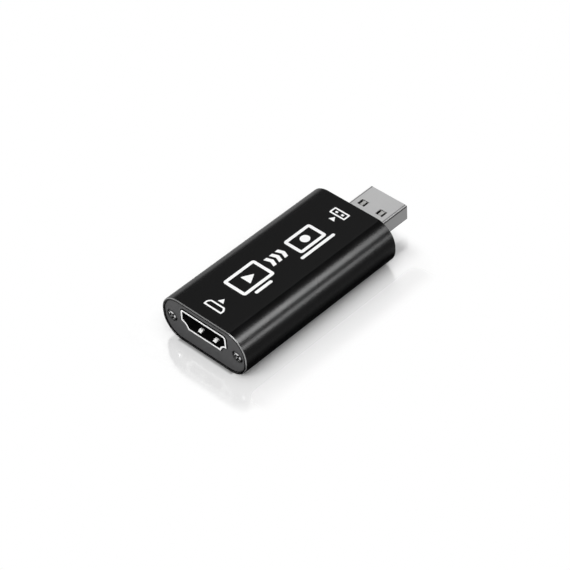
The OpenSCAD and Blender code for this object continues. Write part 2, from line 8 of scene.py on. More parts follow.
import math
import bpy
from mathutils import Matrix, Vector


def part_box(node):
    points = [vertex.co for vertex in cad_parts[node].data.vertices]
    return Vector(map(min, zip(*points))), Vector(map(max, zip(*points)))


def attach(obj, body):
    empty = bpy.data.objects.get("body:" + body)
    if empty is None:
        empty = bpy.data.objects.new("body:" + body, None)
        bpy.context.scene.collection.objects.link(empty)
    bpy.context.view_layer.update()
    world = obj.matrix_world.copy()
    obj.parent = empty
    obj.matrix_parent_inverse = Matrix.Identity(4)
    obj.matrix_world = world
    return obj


bl_info = {
    "name": "Video capture stick",
    "version": (1, 0, 0),
    "blender": (4, 5, 0),
    "location": "3D View > Sidebar > Capture stick",
    "description": "Finishes, lid pictograms and a studio for a video capture stick",
    "category": "Object",
}

import bmesh
import bpy
from bpy.props import FloatProperty, FloatVectorProperty, IntProperty, PointerProperty
from mathutils import Matrix, Quaternion, Vector
from mathutils.geometry import tessellate_polygon

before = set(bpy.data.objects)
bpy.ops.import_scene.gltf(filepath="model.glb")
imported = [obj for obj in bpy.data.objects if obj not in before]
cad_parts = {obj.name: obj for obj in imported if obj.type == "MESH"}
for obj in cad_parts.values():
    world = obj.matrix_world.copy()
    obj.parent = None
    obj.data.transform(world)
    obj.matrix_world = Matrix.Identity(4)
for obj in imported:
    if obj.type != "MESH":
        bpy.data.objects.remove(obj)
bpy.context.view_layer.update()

MM = 0.001
STICK = "stick"

# Places read from the frame
SLEEVE_LO, SLEEVE_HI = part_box("housing_sleeve")
SOCKET_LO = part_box("socket_shell")[0]
PLUG_LO, PLUG_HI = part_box("plug_shell")
SCREW_LO, SCREW_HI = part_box("input_cover_screws")
CHIP_LO, CHIP_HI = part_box("capture_chip")
SPRING_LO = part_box("socket_spring_bottom_left")[0]
LID_Z = SLEEVE_HI.z
SLEEVE_MIDDLE = (SLEEVE_LO + SLEEVE_HI) / 2

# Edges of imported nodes: angle of a crease, angle that still counts as flat, and welding reach
CREASE_ANGLE = math.radians(35)
FLAT_ANGLE = math.radians(0.2)
WELD_REACH = 1e-6

# Sizes inside the finishes, in millimetres
CHAMFER_REACH = 0.27  # from an end of the sleeve to the inner edge of its chamfer
SHADE_FADE = 0.06  # from the socket's bright rim to the painted shade inside it
LIP_FADE = 0.12  # from a finger's bright lip to the painted shade on its root
WINDOW_REACH = (7.2, 5.2)  # from the plug's tip back to the ends of its windows
SLOT_DEPTH = (0.2, 1.6)  # below the plug's top, where the slots beside its keys get painted shade
KEY_PLACE = 3.0  # from the middle of the plug to each key
KEY_HALF = 0.46  # half the width of a key
DOT_INSET = 1.0  # from the large chip's edges to its first-lead dot
DOT_RADIUS = 0.42
DOT_EDGE = 0.05
RING_WAVES = 42.0  # turned rings on a screw head, in radians for each millimetre

# Sizes of the pictograms, in millimetres
CORNER = 0.9
LEAST_CORNER = 0.1
SIDE_SHARE = 0.49  # the most of a side that the arc at its end may take
FOOT = 0.9
FOOT_GAP = 0.7
SCREEN_X, SCREEN_FOOT = -9.4, 5.6
LAPTOP_X, LAPTOP_FOOT = 9.2, 11.6
SIGN_HEIGHT = 3.4
PLAY_SHIFT, PLAY_LENGTH, PLAY_CORNER = 0.3, 3.0, 0.35
RECORD_RADIUS = 1.3
CHEVRON_PITCH, CHEVRON_LENGTH, CHEVRON_CORNER = 1.95, 1.7, 0.05
CHEVRON_SLANT = 1.2  # width of its stroke along X, in strokes
ARROW_PLACE = 1.9
ARROW = (1.4, 1.9, 0.2)  # length, height and corner
MOUTH, MOUTH_CORNER = [(-1.6, -2.9), (-0.4, -2.9), (0.5, -2.2)], 0.25
HOLLOW, HOLLOW_CORNER = [(-1.15, -2.45), (-0.55, -2.45), (0.05, -1.98)], 0.12
SHELL_X, SHELL, SHELL_STROKE, SHELL_CORNER = 0.4, (2.3, 5.0), 0.45, 0.3
SHELL_HOLE, SHELL_HOLE_Y, SHELL_HOLE_CORNER = (0.6, 0.75), 0.95, 0.12

# Studio
FLOOR_GAP = 0.02 * MM
FLOOR_SEGMENTS = 96
FLOOR_IOR = 3.0
FLOOR_ROUGHNESS = 0.13
FLOOR_DULL = 0.42  # roughness added on the stick's right
DULL_START, DULL_REACH = 0.5, 6.0  # millimetres from the sleeve
# Painted contact shadow: share of the floor colour left where the sleeve meets the floor
CONTACT_SHADE = 0.28
FLOOR_GLOW = 0.08  # share of white right beside the stick
FADE_START = 0.5  # share of a reach where its fade begins
CEILING_START, CEILING_STOP = 0.16, 0.60  # heights on the unit dome
STRIP_AHEAD = 0.6  # how far a strip follows the mirrored line of sight along X
FRAME_WIDTH = 36.0  # the camera's frame, in millimetres
NEAREST = 0.01  # the nearest that the camera sees, in metres

# Soft lamps: place, and size along X and across it
SOFT_LAMPS = {
    "front_lamp": ((-0.42, -0.06, 0.40), (0.24, 0.36)),
    "top_lamp": ((-0.06, -0.14, 0.60), (0.50, 0.50)),
    "rear_panel": ((0.33, 0.30, 0.41), (0.25, 0.25)),
}

# Strip lamps: angle of their band on the round side from the top, and width, in degrees
STRIP_LAMPS = {
    "upper_strip": (35.5, 20.0),
    "lower_strip": (54.5, 14.0),
    "left_strip": (-25.0, 20.0),
}


# Properties

def grey(level):
    """A neutral colour."""
    return (level, level, level)


def colour_property(name, description, default):
    """A colour that a user may change."""
    return FloatVectorProperty(
        name=name, description=description, subtype="COLOR",
        size=3, min=0.0, max=1.0, default=default)


def length_property(name, description, default):
    """A length in metres that a user may change."""
    return FloatProperty(
        name=name, description=description, subtype="DISTANCE", unit="LENGTH",
        min=0.0, precision=5, default=default)


def share_property(name, description, default):
    """A share from nought to one that a user may change."""
    return FloatProperty(
        name=name, description=description, subtype="FACTOR",
        min=0.0, max=1.0, default=default)


def plane_property(name, description, default):
    """A place or size on the lid, along X and Y."""
    return FloatVectorProperty(
        name=name, description=description, subtype="XYZ", unit="LENGTH",
        size=2, precision=5, default=default)


def power_property(name, description, default):
    """A lamp's power in watts that a user may change."""
    return FloatProperty(
        name=name, description=description, unit="POWER", min=0.0, default=default)


def angle_property(name, description, degrees):
    """An angle that a user may change."""
    return FloatProperty(
        name=name, description=description, subtype="ANGLE", unit="ROTATION",
        default=math.radians(degrees))


class BodyFinish(bpy.types.PropertyGroup):
    """Finish of the sleeve, the end covers and their screws."""

    sleeve_colour: colour_property("Sleeve", "Dye of the anodised sleeve", (0.0018, 0.0018, 0.0019))
    chamfer_colour: colour_property(
        "Chamfer", "Cut metal of the chamfer round the sleeve's rims", grey(0.26))
    sleeve_roughness: share_property(
        "Sleeve roughness", "How satin the sleeve's round sides are", 0.27)
    lid_roughness: share_property("Lid roughness", "How matt the sleeve's flat faces are", 0.90)
    cover_colour: colour_property("Covers", "Colour of the two end covers", (0.055, 0.055, 0.056))
    cover_roughness: share_property("Cover roughness", "How matt the end covers are", 0.52)
    screw_colour: colour_property("Screws", "Black oxide on the screw heads", (0.05, 0.05, 0.051))
    screw_worn_colour: colour_property(
        "Worn screws", "Bare steel in a worn ring on the screw heads", grey(0.58))
    grain: length_property("Grain", "Size of the blasted grain on the sleeve and covers", 0.08 * MM)
    edge: length_property(
        "Edge radius", "Softened edge of the sleeve, covers and screws", 0.05 * MM)


class ConnectorFinish(bpy.types.PropertyGroup):
    """Finish of the video socket and the data plug."""

    socket_colour: colour_property(
        "Socket rim", "Bright nickel on the socket's front edge", grey(0.72))
    # Painted shade: nearly black colour for the inside of the socket, the spring fingers behind
    # their lips and the slots beside the plug's keys.
    recess_shade_colour: colour_property(
        "Socket lining", "Blackened inside of the socket", (0.003, 0.003, 0.0031))
    # Depth behind the front edge where the socket's painted shade begins.
    shade_start: length_property(
        "Lining start", "Depth behind the front edge where the lining begins", 0.05 * MM)
    tongue_colour: colour_property(
        "Tongue", "Black plastic of the socket's tongue", (0.004, 0.004, 0.0042))
    # Near-white tin on the finger lips, kept bright as a painted highlight on each lip.
    spring_colour: colour_property(
        "Springs", "Bright tin on the lips of the spring fingers", (0.92, 0.92, 0.91))
    lip_length: length_property(
        "Bright lip", "Length of a finger's lip that stays bright", 1.1 * MM)
    plug_colour: colour_property("Plug", "Satin nickel on the plug's shell", grey(0.68))
    # Painted shade: a darker copy of the plug's nickel for its sides.
    plug_shaded_side_colour: colour_property("Plug sides", "Duller nickel on the plug's sides", grey(0.25))
    plug_width: length_property("Plug width", "Width across the plug's shell", 12.0 * MM)
    plug_fold: length_property("Plug fold", "Radius of the plug's folded edges", 0.4 * MM)
    plug_roughness: share_property("Plug roughness", "How satin the plug's shell is", 0.44)
    insulator_colour: colour_property(
        "Plug insulator", "Pale plastic inside the plug", (0.45, 0.45, 0.44))
    contact_colour: colour_property("Contacts", "Gold on the contacts", (0.82, 0.58, 0.22))
    edge: length_property("Edge radius", "Softened edge of the sheet metal and plastic", 0.04 * MM)


class BoardFinish(bpy.types.PropertyGroup):
    """Finish of the circuit board and what is soldered to it."""

    mask_colour: colour_property(
        "Solder mask", "Green lacquer between the tracks", (0.008, 0.060, 0.026))
    track_colour: colour_property(
        "Tracks", "Lacquer where copper lies under it", (0.020, 0.120, 0.050))
    core_colour: colour_property("Core", "Glass fibre at the cut edges", (0.42, 0.40, 0.22))
    chip_colour: colour_property("Chips", "Moulded resin of the chips", (0.018, 0.018, 0.019))
    tin_colour: colour_property("Tin", "Tinned leads and end caps", grey(0.66))
    ceramic_colour: colour_property("Ceramic", "Fired bodies of the capacitors", (0.40, 0.27, 0.14))
    edge: length_property("Edge radius", "Softened edge of the small components", 0.025 * MM)


class LidPrint(bpy.types.PropertyGroup):
    """White pictograms printed on the lid."""

    ink_colour: colour_property("Ink", "White printing ink", grey(0.86))
    ink_thickness: length_property("Ink layer", "Thickness of the ink", 0.012 * MM)
    stroke: length_property("Stroke", "Width of the drawn lines", 0.9 * MM)
    arc_steps: IntProperty(
        name="Arc steps", description="Segments in each rounded corner",
        min=2, max=24, default=8)
    picture_place: plane_property(
        "Picture place", "Middle of the large pictogram", (SLEEVE_MIDDLE.x, 0.0))
    screen_size: plane_property(
        "Screen size", "Outside of the screen's frame", (10.4 * MM, 7.4 * MM))
    laptop_size: plane_property("Laptop size", "Outside of the laptop's lid", (9.0 * MM, 6.2 * MM))
    input_place: plane_property(
        "Input place", "Middle of the input mark", (SLEEVE_LO.x + 5.1 * MM, 0.0))
    output_place: plane_property(
        "Output place", "Middle of the output mark", (SLEEVE_HI.x - 5.15 * MM, 0.0))


class StudioSetup(bpy.types.PropertyGroup):
    """Floor, lamps and camera."""

    floor_colour: colour_property("Floor", "Pale floor", grey(0.93))
    floor_radius: length_property("Floor radius", "How far the floor reaches", 4.0)
    floor_fade: length_property(
        "Floor fade", "How far the shadow reaches beyond the sleeve", 11.0 * MM)
    contact_width: length_property(
        # Painted contact shadow on the floor: width of its strip and how far it reaches.
        "Contact width", "Width of the strip where sleeve and floor all but meet", 17.0 * MM)
    contact_shadow_reach: length_property(
        "Contact reach", "How far the dark line of contact reaches from it", 0.9 * MM)
    # Painted reflection of shade: a dark card that only reflections see beside the sleeve.
    shade_card_colour: colour_property("Card", "Dark card beside the sleeve", grey(0.02))
    card_reach: length_property("Card reach", "How far the card reaches from the sleeve", 7.0 * MM)
    dome_low: colour_property("Walls", "Light from the pale walls", grey(0.95))
    dome_high: colour_property("Ceiling", "Light from the dim ceiling", grey(0.20))
    front_lamp_power: power_property("Front lamp", "Soft lamp before the input end", 2.2)
    top_lamp_power: power_property("Top lamp", "Broad soft lamp above the stick", 1.6)
    rear_panel_power: power_property(
        "Rear panel", "Weak panel that lights the plug from behind", 0.17)
    upper_strip_power: power_property(
        "Upper strip", "Strip lamp for the broad band on the side", 5.5)
    lower_strip_power: power_property(
        "Lower strip", "Strip lamp for the narrow band on the side", 2.4)
    left_strip_power: power_property(
        "Left strip", "Strip lamp for the pale edge on the far side", 0.16)
    strip_reach: length_property("Strip reach", "From the stick to the strip lamps", 0.35)
    strip_length: length_property("Strip length", "Length of the strip lamps", 0.22)
    camera_azimuth: angle_property("Azimuth", "Turn of the camera round the stick", -43.312)
    camera_elevation: angle_property("Elevation", "Height angle of the camera", 42.804)
    camera_roll: angle_property("Roll", "Turn of the camera round its own view", -4.365)
    camera_distance: length_property("Distance", "From the camera to its target", 0.50034)
    camera_target: FloatVectorProperty(
        name="Target", description="Point in the middle of the picture",
        subtype="XYZ", unit="LENGTH", size=3, precision=5,
        default=(-0.007066, -0.001958, 0.005859))
    camera_lens: FloatProperty(
        name="Lens", description="Focal length on a 36 mm frame",
        unit="CAMERA", min=1.0, default=132.265)


# Shader kit

class Signal:
    """A shader socket that stands in Python sums: each operator adds a Math node."""

    def __init__(self, graph, socket):
        self.graph = graph
        self.socket = socket

    def other(self, name):
        """Another output of the same node."""
        return Signal(self.graph, self.socket.node.outputs[name])

    def math(self, operation, *values):
        """One Math node on these values."""
        return self.graph.node(
            "ShaderNodeMath", {"operation": operation}, dict(enumerate(values)))

    def __add__(self, value):
        return self.math("ADD", self, value)

    def __radd__(self, value):
        return self.math("ADD", value, self)

    def __sub__(self, value):
        return self.math("SUBTRACT", self, value)

    def __rsub__(self, value):
        return self.math("SUBTRACT", value, self)

    def __mul__(self, value):
        return self.math("MULTIPLY", self, value)

    def __rmul__(self, value):
        return self.math("MULTIPLY", value, self)

    def __pow__(self, value):
        return self.math("POWER", self, value)

    def __rpow__(self, value):
        return self.math("POWER", value, self)

    def __lt__(self, value):
        return self.math("LESS_THAN", self, value)

    def __gt__(self, value):
        return self.math("GREATER_THAN", self, value)

    def __abs__(self):
        return self.math("ABSOLUTE", self)

    def at_least(self, value):
        """The higher of this and a value."""
        return self.math("MAXIMUM", self, value)

    def at_most(self, value):
        """The lower of this and a value."""
        return self.math("MINIMUM", self, value)

    def sine(self):
        """Wave of this angle in radians."""
        return self.math("SINE", self)

    def sway(self, spread):
        """A noise about 0.5, turned into a swing to both sides of nought."""
        return spread * (self - 0.5)


class Graph:
    """Adds nodes to one shader tree, which starts with its output alone."""

    def __init__(self, tree, output):
        self.tree = tree
        tree.nodes.clear()
        self.output = tree.nodes.new(output)

    def connect(self, socket, value):
        """Link a signal to a socket, or set the socket's own value."""
        if isinstance(value, Signal):
            self.tree.links.new(value.socket, socket)
        elif socket.type == "RGBA":
            socket.default_value = (*value, 1.0)
        else:
            socket.default_value = value

    def node(self, kind, settings=None, inputs=None, output=0):
        """One node: first its settings, then the values or links of its sockets."""
        made = self.tree.nodes.new(kind)
        for name, value in (settings or {}).items():
            setattr(made, name, value)
        for name, value in (inputs or {}).items():
            self.connect(made.inputs[name], value)
        return Signal(self, made.outputs[output])

    def show(self, shader):
        """Link the finished shader to the tree's output."""
        self.connect(self.output.inputs["Surface"], shader)

    def axes(self, vector):
        """The three parts of a vector as signals."""
        x = self.node("ShaderNodeSeparateXYZ", inputs={"Vector": vector})
        return x, x.other("Y"), x.other("Z")

    def blend(self, mask, first, second):
        """Colour that goes from first to second as the mask goes from 0 to 1."""
        return self.node(
            "ShaderNodeMix", {"data_type": "RGBA"}, {0: mask, 6: first, 7: second}, output=2)

    def mottle(self, mask, colour, first, second):
        """Colour that goes from one shade of itself to another with the mask."""
        return self.blend(mask, shade(colour, first), shade(colour, second))

    def ramp(self, value, start, stop):
        """Smooth step from 0 at start to 1 at stop."""
        return self.node(
            "ShaderNodeMapRange", {"interpolation_type": "SMOOTHSTEP"},
            {"Value": value, "From Min": start, "From Max": stop})

    def band(self, value, rise, fall):
        """Smooth step up over one range and down again over a later one."""
        return self.ramp(value, *rise) * (1.0 - self.ramp(value, *fall))

    def mix(self, mask, first, second):
        """Shader that goes from first to second as the mask goes from 0 to 1."""
        return self.node("ShaderNodeMixShader", inputs={0: mask, 1: first, 2: second})


class Surface(Graph):
    """A node material on one Principled shader, with its place on the piece in millimetres."""

    def __init__(self, name, constants):
        self.material = bpy.data.materials.new(name)
        self.material.use_nodes = True
        super().__init__(self.material.node_tree, "ShaderNodeOutputMaterial")
        self.shader = self.node("ShaderNodeBsdfPrincipled", inputs=constants)
        self.show(self.shader)
        metres = self.node("ShaderNodeTexCoord", output="Object")
        self.place = self.stretch(metres, (1 / MM, 1 / MM, 1 / MM))

    def feed(self, name, value):
        """Give one of the shader's sockets its value or link."""
        self.connect(self.shader.socket.node.inputs[name], value)

    def facing(self):
        """How far a face looks along each axis of the frame, from 0 to 1."""
        normal = self.node("ShaderNodeTexCoord", output="Normal")
        return [abs(part) for part in self.axes(normal)]

    def stretch(self, vector, factors):
        """A vector with each axis scaled by its own factor."""
        return self.node(
            "ShaderNodeVectorMath", {"operation": "MULTIPLY"}, {0: vector, 1: factors})

    def noise(self, waves, detail=2.0, vector=None):
        """Soft noise about 0.5, with so many waves in each millimetre."""
        return self.node(
            "ShaderNodeTexNoise",
            inputs={"Vector": vector or self.place, "Scale": waves, "Detail": detail})

    def streaks(self, along, across, detail=3.0):
        """Noise drawn out along X, with so many waves in each millimetre along and across it."""
        return self.noise(1.0, detail, self.stretch(self.place, (along, across, across)))

    def bump(self, height, strength, depth):
        """Small relief for the Normal socket, with its depth in millimetres."""
        bumped = self.node(
            "ShaderNodeBump",
            inputs={"Height": height, "Strength": strength, "Distance": depth * MM})
        self.feed("Normal", bumped)


def shade(colour, factor):
    """A colour made darker or lighter."""
    return tuple(min(1.0, part * factor) for part in colour)


def distance(first, second):
    """Length of the diagonal of two signals at right angles."""
    return (first * first + second * second) ** 0.5


# Finishes

def anodised_black(body):
    """Black dyed aluminium: blasted grain, faint die lines, matt flat faces, bright chamfers."""
    skin = Surface("anodised_black", {"Specular IOR Level": 0.06})
    cloud = skin.noise(waves=0.16, detail=3.0)
    grain = skin.noise(waves=MM / body.grain)
    lines = skin.streaks(along=0.02, across=5.0, detail=2.0)
    from_middle = abs(skin.axes(skin.place)[0] - SLEEVE_MIDDLE.x / MM)
    near_end = from_middle > (SLEEVE_HI.x - SLEEVE_LO.x) / MM / 2 - CHAMFER_REACH
    along, _, up = skin.facing()
    cut = near_end * skin.band(along, (0.50, 0.62), (0.78, 0.90))
    dyed = skin.mottle(cloud, body.sleeve_colour, 0.8, 1.2)
    skin.feed("Base Color", skin.blend(cut, dyed, body.chamfer_colour))
    skin.feed("Metallic", 0.8 * cut)
    flat = skin.ramp(up, 0.985, 0.9995)
    satin = body.sleeve_roughness + (body.lid_roughness - body.sleeve_roughness) * flat
    skin.feed("Roughness", satin + cloud.sway(0.10) + grain.sway(0.10) + lines.sway(0.03))
    skin.bump(0.97 * grain + 0.03 * lines, strength=0.14, depth=0.03)
    return skin.material


def blasted_grey(body):
    """Dark grey end cover: even blasted grain with soft cloudiness."""
    skin = Surface("blasted_grey", {"Specular IOR Level": 0.15})
    cloud = skin.noise(waves=0.35, detail=3.0)
    grain = skin.noise(waves=MM / body.grain, detail=3.0)
    skin.feed("Base Color", skin.mottle(0.6 * cloud + 0.4 * grain, body.cover_colour, 0.8, 1.2))
    skin.feed("Roughness", body.cover_roughness + grain.sway(0.12) + cloud.sway(0.08))
    skin.bump(grain, strength=0.22, depth=0.03)
    return skin.material


def black_oxide(body):
    """Dark steel screw: turned rings on the head, and a bare ring where a driver has worn it."""
    steel = Surface("black_oxide", {"Metallic": 1.0})
    _, y, z = steel.axes(steel.place)
    head_r = (SCREW_HI.z - SCREW_LO.z) / 2
    off_y = abs(y) - (SCREW_HI.y - head_r) / MM
    off_z = z - (SCREW_LO.z + SCREW_HI.z) / 2 / MM
    out = distance(off_y, off_z)
    rings = (out * RING_WAVES).sine()
    wear = steel.noise(waves=1.6, detail=4.0)
    worn = steel.band(out * (MM / head_r), (0.44, 0.54), (0.66, 0.76))
    oxide = steel.mottle(wear, body.screw_colour, 0.6, 1.4)
    steel.feed("Base Color", steel.blend(worn, oxide, body.screw_worn_colour))
    steel.feed("Roughness", 0.20 + 0.04 * rings + wear.sway(0.12))
    steel.bump(rings, strength=0.10, depth=0.01)
    return steel.material


def bright_socket(connector):
    """Drawn nickel sheet: a bright front edge, and painted shade behind it that makes the inside of
    the socket nearly black.
    """
    sheet = Surface("bright_socket", {"Specular IOR Level": 0.05})
    start = (SOCKET_LO.x + connector.shade_start) / MM
    # Painted shade: past its front edge the inside of the socket turns nearly black.
    painted_shade = sheet.ramp(sheet.axes(sheet.place)[0], start, start + SHADE_FADE)
    drawn = sheet.streaks(along=0.6, across=14.0)
    cloud = sheet.noise(waves=0.9, detail=3.0)
    nickel = sheet.mottle(0.5 * drawn + 0.5 * cloud, connector.socket_colour, 0.9, 1.06)
    sheet.feed("Base Color", sheet.blend(painted_shade, nickel, connector.recess_shade_colour))
    sheet.feed("Metallic", 0.1 * (1.0 - painted_shade))
    sheet.feed("Roughness", 0.22 + 0.28 * painted_shade + drawn.sway(0.08))
    sheet.bump(drawn, strength=0.06, depth=0.01)
    return sheet.material


def bright_spring(connector):
    """Spring sheet with fine rolling lines: near-white tin at the lip, kept bright as a painted
    highlight, and painted shade behind it.
    """
    tin = Surface("bright_spring", {"Metallic": 0.1, "Specular IOR Level": 0.3})
    bend = (SPRING_LO.x + connector.lip_length) / MM
    # Painted shade on each finger behind its bright lip.
    painted_shade = tin.ramp(tin.axes(tin.place)[0], bend, bend + LIP_FADE)
    rolled = tin.streaks(along=0.8, across=16.0)
    cloud = tin.noise(waves=1.4)
    bright = tin.mottle(0.5 * rolled + 0.5 * cloud, connector.spring_colour, 0.94, 1.05)
    tin.feed("Base Color", tin.blend(painted_shade, bright, connector.recess_shade_colour))
    tin.feed("Roughness", 0.34 + 0.3 * painted_shade + rolled.sway(0.10))
    tin.bump(rolled, strength=0.05, depth=0.01)
    return tin.material


def moulded(name, colour, roughness, gloss):
    """Moulded plastic, with its tone: fine spark texture and flow clouds."""
    plastic = Surface(name, {"Specular IOR Level": gloss})
    flow = plastic.streaks(along=0.3, across=0.8)
    spark = plastic.noise(waves=9.0)
    tone = plastic.mottle(flow, colour, 0.88, 1.1)
    plastic.feed("Base Color", tone)
    plastic.feed("Roughness", roughness + spark.sway(0.14) + flow.sway(0.06))
    plastic.bump(spark, strength=0.16, depth=0.02)
    return plastic, tone


def tongue_plastic(connector):
    """Black plastic of the socket's tongue."""
    plastic = moulded("tongue_plastic", connector.tongue_colour, roughness=0.6, gloss=0.08)[0]
    return plastic.material


def insulator_plastic(connector):
    """Pale plastic of the plug's insulator, with painted shade in the slots beside its two keys."""
    plastic, tone = moulded(
        "insulator_plastic", connector.insulator_colour, roughness=0.46, gloss=0.4)
    x, y, z = plastic.axes(plastic.place)
    start, stop = [PLUG_HI.x / MM - reach for reach in WINDOW_REACH]
    high, low = [PLUG_HI.z / MM - depth for depth in SLOT_DEPTH]
    # Painted shade in the slots beside the keys.
    beside = abs(abs(y) - KEY_PLACE) > KEY_HALF
    painted_slot_shade = (x > start) * (x < stop) * (z < high) * (z > low) * beside
    plastic.feed("Base Color", plastic.blend(painted_slot_shade, tone, connector.recess_shade_colour))
    return plastic.material


def satin_nickel(connector):
    """Nickel plated plug shell, brushed along its length and cloudy from handling.

    Each fold has a painted highlight on its crest, and painted dark reflections beside it on the
    broad face and on the side.
    """
    plate = Surface("satin_nickel", {"Metallic": 1.0})
    brushed = plate.streaks(along=0.35, across=9.0, detail=4.0)
    cloud = plate.noise(waves=0.3, detail=3.0)
    across = plate.facing()[1]
    # Painted shade: the sides take a darker copy of the nickel than the top.
    face = plate.blend(
        plate.ramp(across, 0.80, 0.95), connector.plug_colour, connector.plug_shaded_side_colour)
    _, y, z = plate.axes(plate.place)
    middle_z = (PLUG_LO.z + PLUG_HI.z) / 2
    half_z = (PLUG_HI.z - PLUG_LO.z) / 2
    off_y = abs(y) - (connector.plug_width / 2 - connector.plug_fold) / MM
    off_z = abs(z - middle_z / MM) - (half_z - connector.plug_fold) / MM
    inside = off_y.at_most(off_z)
    # Painted highlight on each fold's crest and painted dark reflections beside it.
    turned = plate.ramp(across, 0.60, 0.75)
    crest = plate.ramp(inside, -0.02, 0.06)
    above = plate.ramp(inside, -0.32, -0.20) * (1.0 - crest)
    below = plate.ramp(inside, -0.06, 0.04)
    lines = (1.0 - turned) * (0.36 * crest - 0.62 * above) - 0.88 * turned * below
    tone = 0.92 + 0.16 * (0.45 * brushed + 0.55 * cloud)
    plate.feed("Base Color", plate.node(
        "ShaderNodeVectorMath", {"operation": "SCALE"}, {0: face, "Scale": tone * (1.0 + lines)}))
    plate.feed("Roughness", connector.plug_roughness + brushed.sway(0.10) + cloud.sway(0.08))
    plate.bump(brushed, strength=0.06, depth=0.01)
    return plate.material


def gold_contact(connector):
    """Gold flash on the contacts, with wiping lines along them."""
    gold = Surface("gold_contact", {"Metallic": 1.0})
    wiped = gold.streaks(along=0.5, across=18.0)
    gold.feed("Base Color", gold.mottle(wiped, connector.contact_colour, 0.85, 1.1))
    gold.feed("Roughness", 0.26 + wiped.sway(0.14))
    gold.bump(wiped, strength=0.05, depth=0.01)
    return gold.material


def lacquered_board(board):
    """Circuit board: tracks under green lacquer, vias, and bare fibre at the cut edges."""
    lacquer = Surface("lacquered_board", {"Specular IOR Level": 0.5})
    faces = lacquer.ramp(lacquer.facing()[2], 0.5, 0.8)
    bricks = lacquer.node(
        "ShaderNodeTexBrick", {"offset": 0.35},
        {"Vector": lacquer.place, "Scale": 0.42, "Mortar Size": 0.03, "Mortar Smooth": 0.1,
         "Brick Width": 0.9, "Row Height": 0.35}, output="Fac")
    dots = lacquer.node(
        "ShaderNodeTexVoronoi", {"voronoi_dimensions": "2D"},
        {"Vector": lacquer.place, "Scale": 0.55, "Randomness": 0.8})
    copper = bricks.at_least(dots < 0.12)
    weave = lacquer.node(
        "ShaderNodeTexWave", {"bands_direction": "DIAGONAL"},
        {"Vector": lacquer.place, "Scale": 2.4, "Distortion": 0.4}, output="Fac")
    coated = lacquer.blend(copper, board.mask_colour, board.track_colour)
    fibre = lacquer.mottle(weave, board.core_colour, 0.8, 1.1)
    lacquer.feed("Base Color", lacquer.blend(faces, fibre, coated))
    lacquer.feed("Roughness", 0.62 - 0.36 * faces + 0.06 * copper)
    lacquer.bump(copper, strength=0.25, depth=0.03)
    return lacquer.material


def moulded_chip(board):
    """Black chip resin: ground speckle, and a dished first-lead dot on the large chip."""
    resin = Surface("moulded_chip", {"Specular IOR Level": 0.35})
    x, y, _ = resin.axes(resin.place)
    speckle = resin.noise(waves=9.0, detail=3.0)
    out = distance(x - (CHIP_LO.x / MM + DOT_INSET), y - (CHIP_HI.y / MM - DOT_INSET))
    dot = 1.0 - resin.ramp(out, DOT_RADIUS - DOT_EDGE, DOT_RADIUS)
    resin.feed("Base Color", resin.mottle(speckle, board.chip_colour, 0.75, 1.35))
    resin.feed("Roughness", 0.55 + speckle.sway(0.2) - 0.25 * dot)
    resin.bump(0.4 * speckle - 0.6 * dot, strength=0.3, depth=0.05)
    return resin.material


def tinned(board):
    """Dull tin on leads and end caps, with a frosty crystal pattern."""
    tin = Surface("tinned_lead", {"Metallic": 1.0})
    frost = tin.node("ShaderNodeTexVoronoi", inputs={"Vector": tin.place, "Scale": 7.0})
    cloud = tin.noise(waves=2.0)
    tin.feed("Base Color", tin.mottle(frost, board.tin_colour, 1.06, 0.86))
    tin.feed("Roughness", 0.30 + 0.16 * frost + cloud.sway(0.06))
    tin.bump(frost, strength=0.08, depth=0.01)
    return tin.material


def fired_ceramic(board):
    """Fired capacitor body: sandy grain and slight colour drift between pieces."""
    clay = Surface("fired_ceramic", {"Specular IOR Level": 0.4})
    drift = clay.noise(waves=0.22, detail=1.0)
    sand = clay.noise(waves=11.0, detail=3.0)
    clay.feed("Base Color", clay.mottle(
        0.6 * drift + 0.4 * sand, board.ceramic_colour, 0.75, 1.3))
    clay.feed("Roughness", 0.5 + sand.sway(0.2))
    clay.bump(sand, strength=0.2, depth=0.02)
    return clay.material


def white_ink(design):
    """Printed white ink: faint screen mesh and thinner patches."""
    ink = Surface("white_ink", {"Specular IOR Level": 0.4})
    patch = ink.noise(waves=0.5, detail=3.0)
    mesh = ink.noise(waves=8.0)
    ink.feed("Base Color", ink.mottle(0.5 * patch + 0.5 * mesh, design.ink_colour, 0.93, 1.05))
    ink.feed("Roughness", 0.5 + mesh.sway(0.16))
    ink.bump(mesh, strength=0.12, depth=0.01)
    return ink.material


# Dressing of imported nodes

def smooth_group():
    """Node group that shades curved faces smooth and keeps creases sharp."""
    name = "smooth_by_angle"
    found = bpy.data.node_groups.get(name)
    if found:
        return found
    group = bpy.data.node_groups.new(name, "GeometryNodeTree")
    for way in ("INPUT", "OUTPUT"):
        group.interface.new_socket("Geometry", in_out=way, socket_type="NodeSocketGeometry")
    nodes = group.nodes
    link = group.links.new
    entry = nodes.new("NodeGroupInput")
    plain = nodes.new("GeometryNodeRemoveAttribute")
    plain.inputs["Name"].default_value = "custom_normal"
    angle = nodes.new("GeometryNodeInputMeshEdgeAngle")
    sharp = nodes.new("FunctionNodeCompare")
    sharp.operation = "GREATER_THAN"
    sharp.inputs["B"].default_value = CREASE_ANGLE
    smooth = nodes.new("GeometryNodeSetShadeSmooth")
    crease = nodes.new("GeometryNodeSetShadeSmooth")
    crease.domain = "EDGE"
    crease.inputs["Shade Smooth"].default_value = False
    leave = nodes.new("NodeGroupOutput")
    for first, second in ((entry, plain), (plain, smooth), (smooth, crease), (crease, leave)):
        link(first.outputs[0], second.inputs[0])
    link(angle.outputs["Unsigned Angle"], sharp.inputs["A"])
    link(sharp.outputs["Result"], crease.inputs["Selection"])
    return group


